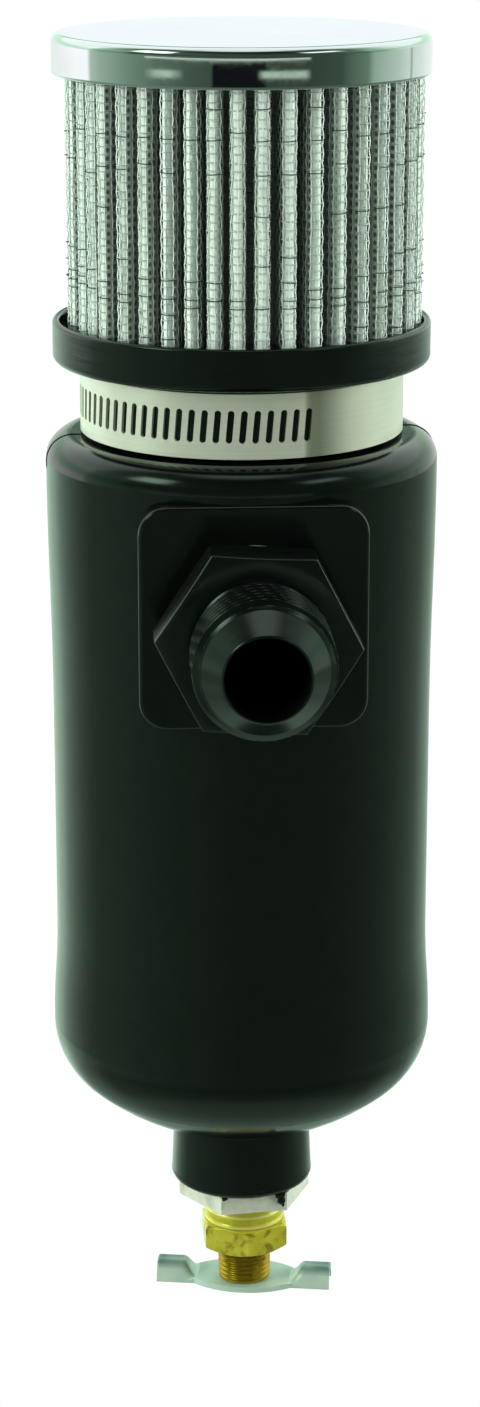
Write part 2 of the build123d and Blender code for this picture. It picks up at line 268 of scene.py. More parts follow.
def mat_tank():
    k = Mat("tank_plastic")
    fine = k.noise(1500.0, 2.0)
    mid = k.noise(260.0, 4.0, 0.6)
    big = k.noise(22.0, 2.0)
    col = k.ramp(mid, [(0.25, (0.0016, 0.0026, 0.0019)), (0.75, (0.0026, 0.0039, 0.0029))])
    k.set(Base_Color=col, Roughness=k.ramp(mid, [(0.2, 0.12), (0.8, 0.18)]))
    k.b.inputs["Specular IOR Level"].default_value = 0.48
    k.b.inputs["Specular Tint"].default_value = (0.84, 1.0, 0.89, 1.0)
    k.b.inputs["IOR"].default_value = 1.5
    h = k.math("ADD", k.math("MULTIPLY", fine, 0.25), k.math("ADD", k.math("MULTIPLY", mid, 0.6), k.math("MULTIPLY", big, 2.5)))
    k.bump(h, 0.00004, 0.5)
    return k.m


def mat_rubber():
    k = Mat("rubber_base")
    x, y, z = k.split()
    fine = k.noise(1100.0, 3.0)
    rings_ = k.noise(1.0, 2.0, vec=k.coords((60, 60, 900)))
    mid = k.noise(120.0, 3.0)
    col = k.ramp(mid, [(0.25, (0.0011, 0.0019, 0.0014)), (0.8, (0.0022, 0.0034, 0.0026))])
    k.set(Base_Color=col, Roughness=k.ramp(rings_, [(0.25, 0.15), (0.8, 0.22)]))
    k.b.inputs["Specular IOR Level"].default_value = 0.48
    k.b.inputs["Specular Tint"].default_value = (0.84, 1.0, 0.89, 1.0)
    h = k.math("ADD", k.math("MULTIPLY", fine, 0.4), rings_)
    k.bump(h, 0.00005, 0.5)
    return k.m


def painted_fold_shade(k):
    """Painted shade: 0 at the crests, 1 down in the folds, where the pack is darkened as shade would darken it."""
    x, y, z = k.split()
    x = k.math("SUBTRACT", x, 0.00062)
    r = k.math("SQRT", k.math("ADD", k.math("MULTIPLY", x, x), k.math("MULTIPLY", y, y)))
    return k.ramp(k.math("MULTIPLY", k.math("SUBTRACT", r, 0.030), 166.67), [(0.18, 0.86), (0.42, 0.55), (0.66, 0.0)])


def mat_wire(name, lo_, hi_, metal):
    k = Mat(name)
    n = k.noise(420.0, 3.0)
    big = k.noise(60.0, 2.0)
    mid = tuple((p_ + q_) * 0.47 for p_, q_ in zip(lo_, hi_))
    col = k.mix(0.5, k.ramp(n, [(0.25, lo_), (0.75, hi_)]), k.ramp(big, [(0.3, mid), (0.7, hi_)]))
    # painted shade: the wire colour darkened down in the folds
    col = k.mix(painted_fold_shade(k), col, (0.05, 0.07, 0.056))
    k.set(Base_Color=col, Metallic=metal, Roughness=k.ramp(n, [(0.2, 0.34), (0.8, 0.5)]))
    return k.m


def mat_gauze():
    k = Mat("gauze")
    v1 = k.noise(1.0, 2.0, vec=k.coords((2600, 2600, 700)))
    v2 = k.noise(1.0, 2.0, vec=k.coords((700, 700, 3000)))
    big = k.noise(90.0, 3.0)
    w = k.math("ADD", v1, v2)
    a = k.ramp(w, [(0.62, (0.36, 0.45, 0.38)), (1.0, (0.58, 0.69, 0.60))])
    b = k.ramp(big, [(0.3, (0.42, 0.51, 0.44)), (0.7, (0.56, 0.66, 0.58))])
    # dark dots in the middle of each mesh cell on the flanks: painted shade in the holes between the wires
    at = k.node("ShaderNodeAttribute", attribute_name="weave")
    sp = k.node("ShaderNodeSeparateXYZ")
    k.link(at.outputs["Vector"], sp.inputs[0])
    dx = k.math("SUBTRACT", k.math("FRACT", sp.outputs[0]), 0.5)
    dy = k.math("SUBTRACT", k.math("FRACT", sp.outputs[1]), 0.5)
    r2 = k.math("ADD", k.math("MULTIPLY", dx, dx), k.math("MULTIPLY", dy, dy))
    hole = k.ramp(r2, [(0.0, 1.0), (0.045, 0.9), (0.16, 0.0)])
    flank = k.ramp(sp.outputs[2], [(0.30, 0.0), (0.52, 0.9)])
    painted_hole_shade = k.math("MULTIPLY", hole, flank)
    # gauze colour darkened by painted shade in the folds and in the mesh holes on the flanks
    k.set(Base_Color=k.mix(painted_hole_shade, k.mix(painted_fold_shade(k), k.mix(0.35, a, b), (0.035, 0.05, 0.04)), (0.03, 0.045, 0.036)), Roughness=k.ramp(w, [(0.6, 0.95), (1.0, 0.8)]))
    k.b.inputs["Specular IOR Level"].default_value = 0.2
    k.bump(w, 0.0001, 0.6)
    return k.m


# near-black material for tubes that are painted shade along rows of the wire mesh
def mat_thread():
    k = Mat("dark_thread")
    n = k.noise(800.0, 2.0)
    k.set(Base_Color=k.ramp(n, [(0.3, (0.03, 0.045, 0.04)), (0.7, (0.08, 0.105, 0.09))]), Roughness=k.ramp(n, [(0.3, 0.6), (0.7, 0.8)]))
    return k.m


def mat_stainless():
    k = Mat("stainless")
    along = k.noise(1.0, 3.0, vec=k.coords((40, 40, 4200)))
    blot = k.noise(45.0, 3.0)
    col = k.mix(0.5, k.ramp(along, [(0.3, (0.51, 0.565, 0.43)), (0.7, (0.66, 0.71, 0.575))]),
                k.ramp(blot, [(0.3, (0.51, 0.565, 0.43)), (0.7, (0.64, 0.69, 0.565))]))
    x, y, z = k.split()
    # a darker stretch of the band just past the slotted part: painted shade standing in for a dark reflection there
    ang = k.math("DIVIDE", k.math("ADD", k.math("ARCTAN2", y, x), math.pi), 2 * math.pi)
    painted_shade_band = k.ramp(ang, [(0.0, 0.0), (rad(180 - 71.5) / (2 * math.pi), 0.0), (rad(180 - 70.0) / (2 * math.pi), 0.75), (rad(180 - 66) / (2 * math.pi), 0.80),
                        (rad(180 - 52) / (2 * math.pi), 0.25), (rad(180 - 40) / (2 * math.pi), 0.0)])
    col = k.mix(painted_shade_band, col, (0.09, 0.12, 0.06))
    k.set(Metallic=0.5, Base_Color=col, Roughness=k.ramp(along, [(0.25, 0.28), (0.8, 0.38)]))
    k.bump(along, 0.00001, 0.35)
    return k.m


def mat_screw():
    k = Mat("plated_screw")
    n = k.noise(500.0, 3.0)
    k.set(Metallic=1.0, Base_Color=k.ramp(n, [(0.3, (0.55, 0.57, 0.55)), (0.7, (0.70, 0.72, 0.70))]), Roughness=k.ramp(n, [(0.3, 0.24), (0.7, 0.36)]))
    k.bump(n, 0.00001, 0.3)
    return k.m


def mat_anodised():
    k = Mat("black_anodised")
    turn = k.noise(1.0, 2.0, vec=k.coords((160, 2600, 160)))
    n = k.noise(300.0, 3.0)
    col = k.ramp(n, [(0.3, (0.0012, 0.0017, 0.0015)), (0.7, (0.0022, 0.0030, 0.0026))])
    k.set(Base_Color=col, Roughness=k.ramp(turn, [(0.25, 0.16), (0.8, 0.24)]))
    k.b.inputs["Specular Tint"].default_value = (0.80, 1.0, 0.86, 1.0)
    k.b.inputs["IOR"].default_value = 1.55
    k.b.inputs["Specular IOR Level"].default_value = 0.5
    k.bump(turn, 0.000004, 0.3)
    return k.m


def mat_insert():
    k = Mat("insert_metal")
    n = k.noise(320.0, 4.0, 0.65)
    stain = k.noise(130.0, 3.0)
    col = k.mix(k.ramp(stain, [(0.52, 0.0), (0.66, 0.75)]), k.ramp(n, [(0.25, (0.42, 0.45, 0.36)), (0.75, (0.62, 0.65, 0.54))]), (0.28, 0.31, 0.23))
    k.set(Metallic=0.2, Base_Color=col, Roughness=k.ramp(n, [(0.25, 0.30), (0.75, 0.48)]))
    k.bump(n, 0.00004, 0.5)
    return k.m


def mat_brass():
    k = Mat("brass_body")
    n = k.noise(260.0, 4.0, 0.6)
    stain = k.noise(270.0, 3.0, 0.6, distort=0.5)
    base = k.ramp(n, [(0.25, (0.46, 0.43, 0.02)), (0.75, (0.64, 0.61, 0.065))])
    x, y, z = k.split()
    on_hex = k.math("LESS_THAN", z, -0.0928)
    amount = k.math("MULTIPLY", k.ramp(stain, [(0.50, 0.0), (0.63, 0.85)]), on_hex)
    # pale brass in two narrow bands round the collar's rings: painted highlights on their rims
    near = k.math("MINIMUM", k.math("ABSOLUTE", k.math("ADD", z, 0.08962)), k.math("ABSOLUTE", k.math("ADD", z, 0.0919)))
    painted_rim_highlight = k.ramp(k.math("MULTIPLY", near, 1000.0), [(0.08, 0.6), (0.34, 0.0)])
    base = k.mix(painted_rim_highlight, base, (0.92, 0.88, 0.36))
    k.set(Metallic=0.5, Base_Color=k.mix(amount, base, (0.24, 0.15, 0.02)), Roughness=k.ramp(n, [(0.25, 0.17), (0.75, 0.27)]))
    k.bump(n, 0.00002, 0.3)
    return k.m


def mat_stem():
    k = Mat("brass_stem")
    n = k.noise(300.0, 4.0, 0.6)
    k.set(Metallic=0.9, Base_Color=k.ramp(n, [(0.25, (0.34, 0.22, 0.010)), (0.75, (0.52, 0.35, 0.03))]), Roughness=k.ramp(n, [(0.25, 0.18), (0.75, 0.30)]))
    k.bump(n, 0.00001, 0.3)
    return k.m


def mat_zinc():
    k = Mat("zinc_plate")
    n = k.noise(210.0, 4.0, 0.6)
    big = k.noise(60.0, 2.0)
    col = k.mix(0.5, k.ramp(n, [(0.3, (0.50, 0.69, 0.56)), (0.7, (0.66, 0.85, 0.69))]), k.ramp(big, [(0.35, (0.46, 0.67, 0.60)), (0.65, (0.70, 0.84, 0.64))]))
    x, y, z = k.split()
    # darker teal along the raised tops of the wings, by height and noise: painted dark reflection
    painted_crown_shade = k.math("MULTIPLY", k.ramp(k.math("MULTIPLY", k.math("ADD", z, 0.1078), 200.0), [(0.52, 0.0), (0.76, 0.85)]), k.ramp(big, [(0.34, 0.35), (0.54, 1.0)]))
    col = k.mix(painted_crown_shade, col, (0.09, 0.21, 0.19))
    k.set(Metallic=0.5, Base_Color=col, Roughness=k.ramp(n, [(0.25, 0.30), (0.75, 0.46)]))
    k.bump(n, 0.00002, 0.35)
    return k.m


# one wire cloth in two tones: the upright wires take a lighter copy as a painted highlight, the wires across a darker
# copy as painted shade
M = {
    "chrome": mat_chrome(), "tank": mat_tank(), "rubber": mat_rubber(), "wire": mat_wire("wire_screen", (0.49, 0.58, 0.51), (0.74, 0.84, 0.77), 0.2),
    "weft": mat_wire("wire_screen_across_shaded", (0.36, 0.44, 0.38), (0.56, 0.66, 0.58), 0.12), "gauze": mat_gauze(), "thread": mat_thread(),
    "stainless": mat_stainless(), "screw": mat_screw(), "anodised": mat_anodised(), "insert": mat_insert(), "brass": mat_brass(),
    "stem": mat_stem(), "zinc": mat_zinc(),
}


def give(node, mat, bevel=None):
    """Material, and softened edges, for a frame node."""
    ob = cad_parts[node]
    for s in ob.material_slots:
        s.material = mat
    if bevel:
        m = ob.modifiers.new("edge", "BEVEL")
        m.width = bevel * MM
        m.segments = 2
        m.limit_method = "ANGLE"
        m.angle_limit = rad(28)
    return ob


give("tank_body", M["tank"])
give("filter_base", M["rubber"])
give("clamp_band", M["stainless"])
give("clamp_housing", M["stainless"])
give("clamp_screw", M["screw"])
give("inlet_insert", M["insert"])
give("drain_insert", M["insert"])
give("top_seal", M["rubber"])


# ------------------------------------------------------------------ chrome cap
def cap_profile():
    out = [(0.0, 159.5), (12.0, 159.5), (24.0, 159.5), (32.0, 159.5), (35.0, 159.5)]
    out += arc_pts(35.46, 157.8, 1.7, 86, 1.6, 18)
    n = 14
    for i in range(1, n + 1):
        z = 157.85 + (152.02 - 157.85) * i / n
        q_ = (z - 154.9) / 2.9
        out.append((37.2 - (0.04 if q_ > 0 else 0.028) * q_ * q_, z))
    out += [(37.14, 151.93), (37.06, 151.87), (36.92, 151.85)]
    out += [(36.55, 151.86), (36.42, 152.0), (36.4, 157.0)]
    out += arc_pts(34.9, 157.1, 1.5, 0, 90, 8)
    out += [(24.0, 158.66), (0.0, 158.7)]
    return out


v, f = lathe(cap_profile(), 320, closed=False)
cap = finish_mesh("filter_cap_shell", v, f, M["chrome"], 40)
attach(cap, "tank")
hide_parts("filter_cap")

# ------------------------------------------------------------------ pleated filter
FRONT = -93.45     # polar angle that faces the camera's side
crests = [-77.6, -67.0, -59.4, -52.6, -42.5, -33.8, -25.1, -17.0, -9.8, -2.3, 5.66, 14.2, 23.0, 31.6, 41.0, 50.2, 59.6, 70.2, 80.4]
gap = 360.0 + crests[0] - crests[-1]
rng = random.Random(7)
n_back = 24
back = [crests[-1] + gap * (i + 1) / n_back for i in range(n_back - 1)]
crests = crests + [a + rng.uniform(-0.7, 0.7) for a in back]
NP = len(crests)
crest_r = [35.42 + rng.uniform(-0.16, 0.06) for _ in crests]
PACK_X = 0.62      # the pleated pack sits a little to one side in its base
Z0, Z1 = 98.3, 153.6
CR, VC, VR = 1.75, 29.2, 0.5


def pleat_path(d, n_arc=10, n_flank=5, n_val=4):
    """Closed pleated line, d under the outermost surface, as [(x, y)] with outward normals."""
    pts = []
    for k in range(NP):
        a0 = rad(FRONT + crests[k])
        nxt = crests[(k + 1) % NP] + (360.0 if k == NP - 1 else 0.0)
        prv = crests[k - 1] - (360.0 if k == 0 else 0.0)
        half = []
        for sgn, pitch in ((1, nxt - crests[k]), (-1, crests[k] - prv)):
            hp = rad(pitch / 2)
            rcr = crest_r[k] - CR
            a, g = CR - d, VR + d
            c = (rcr, 0.0)
            w = (VC * math.cos(hp), VC * math.sin(hp))
            dx, dy = w[0] - c[0], w[1] - c[1]
            dist = math.hypot(dx, dy)
            base = math.atan2(dy, dx)
            nn = base - math.acos(min(1.0, (a + g) / dist))
            if a * math.sin(nn) < 0:
                nn = base + math.acos(min(1.0, (a + g) / dist))
            seg = []
            for i in range(n_arc + 1):
                t = nn * i / n_arc
                seg.append(((c[0] + a * math.cos(t), a * math.sin(t)), (math.cos(t), math.sin(t))))
            t1 = seg[-1][0]
            t2 = (w[0] - g * math.cos(nn), w[1] - g * math.sin(nn))
            for i in range(1, n_flank + 1):
                u = i / n_flank
                seg.append(((t1[0] + (t2[0] - t1[0]) * u, t1[1] + (t2[1] - t1[1]) * u), (math.cos(nn), math.sin(nn))))
            for i in range(1, n_val + 1):
                t = nn + (hp - nn) * i / n_val
                seg.append(((w[0] - g * math.cos(t), w[1] - g * math.sin(t)), (math.cos(t), math.sin(t))))
            half.append([((p[0], sgn * p[1]), (q[0], sgn * q[1])) for p, q in seg])
        whole = list(reversed(half[1]))[:-1] + half[0][:-1]
        for p, q in whole:
            pts.append(((p[0] * math.cos(a0) - p[1] * math.sin(a0) + PACK_X, p[0] * math.sin(a0) + p[1] * math.cos(a0)),
                        (q[0] * math.cos(a0) - q[1] * math.sin(a0), q[0] * math.sin(a0) + q[1] * math.cos(a0))))
    return pts


class Path:
    """A closed line that is read by its arc length."""

    def __init__(self, pts):
        self.p = pts
        self.s = [0.0]
        for i in range(len(pts)):
            a, b = pts[i][0], pts[(i + 1) % len(pts)][0]
            self.s.append(self.s[-1] + math.hypot(b[0] - a[0], b[1] - a[1]))
        self.length = self.s[-1]

    def at_many(self, ss):
        out, i = [], 0
        n = len(self.p)
        for s in ss:
            while i < n - 1 and self.s[i + 1] < s:
                i += 1
            a, b = self.p[i], self.p[(i + 1) % n]
            d = self.s[i + 1] - self.s[i]
            u = 0.0 if d < 1e-9 else (s - self.s[i]) / d
            nx, ny = a[1][0] + (b[1][0] - a[1][0]) * u, a[1][1] + (b[1][1] - a[1][1]) * u
            m = math.hypot(nx, ny) or 1.0
            out.append(((a[0][0] + (b[0][0] - a[0][0]) * u, a[0][1] + (b[0][1] - a[0][1]) * u), (nx / m, ny / m)))
        return out


def sheet_mesh(name, d, z0, z1, nz, mat, wob=0.0, seed=1):
    pts = pleat_path(d)
    r2 = random.Random(seed)
    ph = [r2.uniform(0, 6.28) for _ in range(6)]
    loops = []
    for j in range(nz + 1):
        z = z0 + (z1 - z0) * j / nz
        loop = []
        for i, (p, q) in enumerate(pts):
            w = wob * (math.sin(z * 0.9 + ph[0] + i * 0.21) + math.sin(z * 2.1 + ph[1] + i * 0.37)) * 0.5
            loop.append((p[0] + q[0] * w, p[1] + q[1] * w, z))
        loops.append(loop)
    v, f = rings(loops, False)
    ob = finish_mesh(name, v, f, mat, 180)
    ref = Path(pleat_path(0.31))
    block = len(pts) // NP
    at = ob.data.attributes.new("weave", "FLOAT_VECTOR", "POINT")
    for j in range(nz + 1):
        z = z0 + (z1 - z0) * j / nz
        for i in range(len(pts)):
            k = i // block
            ds = ref.s[i] - ref.s[k * block + block // 2]
            at.data[j * len(pts) + i].vector = ((ds - WARP_OFF[k]) / WARP, (z - Z0 - 0.3) / PITCH_Z, min(1.0, abs(ds) / 3.2))
    return ob


PITCH_Z = 1.5875
WARP = 1.46
WARP_OFF = [rng.uniform(-0.45, 0.3) for _ in crests]
gauze = sheet_mesh("filter_gauze", 0.62, Z0 + 0.05, Z1 - 0.05, 60, M["gauze"], 0.06, 3)
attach(gauze, "tank")
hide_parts("cotton_gauze")
inner = sheet_mesh("filter_inner_screen", 1.1, Z0 + 0.05, Z1 - 0.05, 2, M["wire"], 0.0, 5)
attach(inner, "tank")
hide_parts("inner_wire_screen")

WIRE = 0.15
path = Path(pleat_path(0.31, 8, 4, 3))
n_hor = int((Z1 - Z0) / PITCH_Z)


def tube(verts, faces, line, normals, r, closed, sides=3):
    base = len(verts)
    n = len(line)
    for i in range(n):
        a = Vector(line[(i - 1) % n] if (closed or i) else line[0])
        b = Vector(line[(i + 1) % n] if (closed or i < n - 1) else line[-1])
        t = (b - a).normalized()
        u = Vector(normals[i])
        u = (u - t * u.dot(t)).normalized()
        w = t.cross(u)
        c = Vector(line[i])
        for s in range(sides):
            an = 2 * math.pi * s / sides
            verts.append(tuple(c + (u * math.cos(an) + w * math.sin(an)) * r))
    for i in range(n if closed else n - 1):
        j = (i + 1) % n
        for s in range(sides):
            e = (s + 1) % sides
            faces.append((base + i * sides + s, base + i * sides + e, base + j * sides + e, base + j * sides + s))


def wires():
    rr = random.Random(11)
    hv, hf, vv, vf = [], [], [], []
    amp = 0.11
    block = len(path.p) // NP
    warp = []
    for k in range(NP):
        mid = path.s[k * block + block // 2] + WARP_OFF[k]
        lo_, hi_ = path.s[k * block] + 0.35, path.s[(k + 1) * block] - 0.35
        a_, b_ = int(math.ceil((lo_ - mid) / WARP)), int(math.floor((hi_ - mid) / WARP))
        warp += [mid + WARP * i for i in range(a_, b_ + 1)]
    if len(warp) % 2:
        warp.pop()
    n_ver = len(warp)
    ss = []
    for i, q_ in enumerate(warp):
        nx_ = warp[i + 1] if i + 1 < n_ver else path.length
        ss += [q_, (q_ + nx_) / 2]
    base_pts = path.at_many(ss)
    for j in range(n_hor + 1):
        z = Z0 + 0.3 + PITCH_Z * j
        if z > Z1 - 0.1:
            break
        ph = rr.uniform(0, 6.28)
        line, nor = [], []
        for i, (p, q) in enumerate(base_pts):
            w = amp * (1 if (i // 2 + j) % 2 else -1) if i % 2 == 0 else 0.0
            sag = 0.09 * math.sin(i * 0.045 + ph) + 0.05 * math.sin(i * 0.31 + 2 * ph)
            line.append((p[0] + q[0] * w, p[1] + q[1] * w, z + sag))
            nor.append((q[0], q[1], 0.0))
        tube(hv, hf, line, nor, WIRE, True)
    for i in range(n_ver):
        p, q = base_pts[2 * i]
        ph, ph2 = rr.uniform(0, 6.28), rr.uniform(0, 6.28)
        side = (-q[1], q[0])
        line, nor = [], []
        j = 0
        while True:
            z = Z0 + 0.02 + PITCH_Z * j / 2
            if z > Z1 - 0.02:
                break
            w = 0.0 if j % 2 else -amp * (1 if (i + j // 2) % 2 else -1)
            lean = 0.10 * math.sin(z * 0.22 + ph) + 0.05 * math.sin(z * 0.9 + ph2)
            line.append((p[0] + q[0] * w + side[0] * lean, p[1] + q[1] * w + side[1] * lean, z))
            nor.append((q[0], q[1], 0.0))
            j += 1
        tube(vv, vf, line, nor, WIRE, False)
    return (hv, hf), (vv, vf)


(hv, hf), (vv, vf) = wires()
wire_h = finish_mesh("filter_wires_across", hv, hf, M["weft"], 180)
wire_v = finish_mesh("filter_wires_upright", vv, vf, M["wire"], 180)
for o in (wire_h, wire_v):
    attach(o, "tank")
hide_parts("outer_wire_screen")


def threads():
    """Dark tubes across the crests, painted shade along rows of the mesh, most of them at the same heights on
    neighbouring pleats.
    """
    rr = random.Random(23)
    verts, faces = [], []
    levels = [(142.3, 0.8), (136.0, 0.85), (119.0, 0.5), (115.8, 0.8), (112.4, 0.85), (110.9, 0.8), (128.3, 0.2), (104.6, 0.35), (148.2, 0.25)]
    for k in range(NP):
        a0 = rad(FRONT + crests[k])
        rcr = crest_r[k] - CR
        for z, share in levels:
            here = rr.random() < share
            zz = z + rr.choice((0.0, 0.0, 0.0, 0.0, PITCH_Z)) * rr.choice((1, -1)) + rr.uniform(-0.12, 0.12)
            ra = CR - 0.05
            span = rr.choice((70, 76, 80, 58))
            off = rr.uniform(-8, 8)
            tilt = rr.uniform(-0.12, 0.12)
            line, nor = [], []
            for i in range(9):
                t = rad(-span + off + 2 * span * i / 8)
                t = max(rad(-100), min(rad(100), t))
                x, y = rcr + ra * math.cos(t), ra * math.sin(t)
                line.append((x * math.cos(a0) - y * math.sin(a0) + PACK_X, x * math.sin(a0) + y * math.cos(a0), zz + tilt * math.sin(t)))
                nor.append((math.cos(t + a0), math.sin(t + a0), 0.0))
            if here:
                tube(verts, faces, line, nor, 0.11, False)
    return verts, faces


v, f = threads()
thr = finish_mesh("filter_threads", v, f, M["thread"], 180)
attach(thr, "tank")

# ------------------------------------------------------------------ mould's parting line over the shoulder
def parting_line():
    verts, faces = [], []
    for deg in (184.4, 4.4):
        c, sn = math.cos(rad(deg)), math.sin(rad(deg))
        prof_ = [(29.9, 80.5), (30.6, 80.66), (32.4, 80.68), (34.2, 80.68)] + arc_pts(34.2, 75.5, 5.18, 84, 0, 16) + [(39.36, 74.4), (39.1, 73.6)]
        nor_ = [(0.0, 1.0)] * 4 + [(math.cos(rad(84 - 84 * i / 16)), math.sin(rad(84 - 84 * i / 16))) for i in range(17)] + [(1.0, 0.0)] * 2
        line = [(r_ * c, r_ * sn, z_) for r_, z_ in prof_]
        tube(verts, faces, line, [(a_ * c, a_ * sn, b_) for a_, b_ in nor_], 0.17, False, 8)
    return verts, faces


def flash():
    """Thin irregular lumps of tank plastic: (polar angle, radius, height) of the middle, then half width, half thickness and half height."""
    verts, faces = [], []
    rr = random.Random(41)
    for deg, r_, z_, hw, ht, hh in ((-53.6, 13.55, -82.7, 1.75, 0.80, 1.15), (-54.8, 13.75, -83.9, 1.10, 0.66, 1.25), (-53.2, 13.70, -85.0, 0.75, 0.55, 1.15),
                                    (-109.6, 13.45, -82.5, 0.85, 0.45, 0.85), (-105.5, 13.0, -82.0, 1.3, 0.45, 0.55)):
        c, sn = math.cos(rad(deg)), math.sin(rad(deg))
        nu, nv = 18, 10
        base = len(verts)
        ph = [rr.uniform(0, 6.28) for _ in range(4)]
        verts.append(((r_) * c, (r_) * sn, z_ + hh))
        for j in range(1, nv):
            t = math.pi * j / nv
            for i in range(nu):
                q = 2 * math.pi * i / nu
                w = 1 + 0.16 * math.sin(3 * q + ph[0] + 2 * t) + 0.13 * math.sin(2 * q + 5 * t + ph[1]) + 0.09 * math.sin(5 * q + ph[2])
                u_, d_, h_ = hw * math.sin(t) * math.cos(q) * w, ht * math.sin(t) * math.sin(q), hh * math.cos(t) + 0.12 * hh * math.sin(2 * q + ph[3]) * math.sin(t)
                verts.append(((r_ + d_) * c - u_ * sn, (r_ + d_) * sn + u_ * c, z_ + h_))
        verts.append(((r_) * c, (r_) * sn, z_ - hh))
        last = len(verts) - 1
        for i in range(nu):
            k = (i + 1) % nu
            faces.append((base, base + 1 + i, base + 1 + k))
            for j in range(nv - 2):
                o = base + 1 + j * nu
                faces.append((o + i, o + nu + i, o + nu + k, o + k))
            faces.append((last - nu + i, last, last - nu + k))
    return verts, faces


v, f = flash()
lumps = finish_mesh("tank_flash", v, f, M["tank"], 60)
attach(lumps, "tank")

v, f = parting_line()
seam = finish_mesh("tank_parting_line", v, f, M["tank"], 60)
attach(seam, "tank")

# ------------------------------------------------------------------ inlet fitting
INLET_Z = 51.15


def at_inlet(p):
    return (p[0], -p[2], INLET_Z + p[1])


PITCH = 2.1167
CREST, ROOT = 13.49, 12.2


def screw_r(crest, root, pitch, flat=0.14):
    def f(z, a):
        t = (z / pitch - a / (2 * math.pi)) % 1.0
        u = abs(2 * t - 1)                # 1 at the crest's middle, 0 at the root's
        u = min(1.0, max(0.0, (u - flat) / (1 - 2 * flat)))
        u = u * u * (3 - 2 * u) * 0.25 + u * 0.75
        return root + (crest - root) * u
    return f


def inlet_limit(L):
    if L < 59.9:
        return 12.4
    if L < 61.0:
        return 12.4 + (13.49 - 12.4) * (L - 59.9) / 1.1
    if L < 73.2:
        return 13.49
    return 13.49 - (L - 73.2) * (13.49 - 12.0) / 1.3


thr_in = screw_r(CREST, ROOT, PITCH)
SEG = 192
prof = [(7.8, 25.2), (12.5, 25.2), (13.3, 26.1), (13.3, 46.9)]
prof += hex_profile(34.2, -3.0, 47.0, 57.5, 13.3, 12.75, 16.7, 0.95, 0.35)
prof += [(12.45, 57.75), (12.4, 58.1), (12.4, 59.0)]
n = 250
for i in range(n + 1):
    L = 59.4 + (74.42 - 59.4) * i / n
    lim = inlet_limit(L)
    prof.append(((lambda L, lim: lambda a: min(lim, thr_in(L, a)) if L > 60.2 else min(lim, thr_in(L, a) + (60.2 - L) * 2))(L, lim), L))
prof += [(11.96, 74.5), (11.84, 74.64)]
prof += [(11.84 + (8.5 - 11.84) * t, 74.64 + (79.05 - 74.64) * t) for t in (0.05, 0.35, 0.7, 1.0)]
prof += [(8.36, 79.22), (8.22, 79.33), (8.08, 79.38), (7.96, 79.35), (7.86, 79.2), (7.8, 78.9), (7.8, 60.0), (7.8, 40.0)]
v, f = lathe(prof, SEG, at_inlet, closed=True, start=-3.0)
fit = finish_mesh("inlet_fitting_turned", v, f, M["anodised"], 30)
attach(fit, "tank")
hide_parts("inlet_fitting")

# ------------------------------------------------------------------ drain cock
DX = 0.6


def at_drain(p):
    return (p[0] + DX, p[1], p[2])


SEGD = 180
prof = [(2.5, -73.6), (5.9, -73.6), (6.8, -75.0), (6.8, -86.3), (7.9, -86.42), (8.0, -86.55), (8.0, -88.2), (8.03, -88.5), (8.13, -88.95),
        (8.3, -89.28), (8.47, -89.5), (8.57, -89.65), (8.6, -89.85), (8.6, -90.9), (8.53, -91.04), (8.38, -91.18), (8.31, -91.3), (8.36, -91.45),
        (8.49, -91.6), (8.59, -91.78), (8.62, -92.05), (8.57, -92.28), (8.48, -92.42)]
prof += [(r, z) for r, z in reversed(hex_profile(17.46, -28.45, -98.5, -92.5, 5.8, 8.38, 8.6, 0.8, 0.3))]
prof += [(5.74, -98.3), (5.72, -87.2), (4.2, -87.0), (2.5, -85.3)]
v, f = lathe(prof, SEGD, at_drain, closed=True, start=-28.45)
dbody = finish_mesh("drain_body_turned", v, f, M["brass"], 30)
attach(dbody, "tank")
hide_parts("drain_body")

thr_st = screw_r(5.65, 5.2, 1.058, 0.10)
prof = [(2.0, -108.32), (4.15, -108.38), (4.32, -108.3), (4.4, -108.15), (4.4, -107.9), (3.55, -107.86), (3.55, -106.56), (5.3, -106.56), (5.5, -106.5), (5.56, -106.2)]
n = 260
for i in range(n + 1):
    z = -106.05 + 13.0 * i / n
    prof.append(((lambda z: lambda a: thr_st(z, a))(z), z))
prof += [(5.0, -92.8), (4.2, -91.6), (4.1, -91.4), (4.1, -87.1), (2.5, -85.5), (2.0, -85.5), (2.0, -89.5)]
v, f = lathe(prof, 96, at_drain, closed=True)
stem = finish_mesh("drain_stem_screw", v, f, M["stem"], 40)
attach(stem, "stem")
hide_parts("drain_stem")


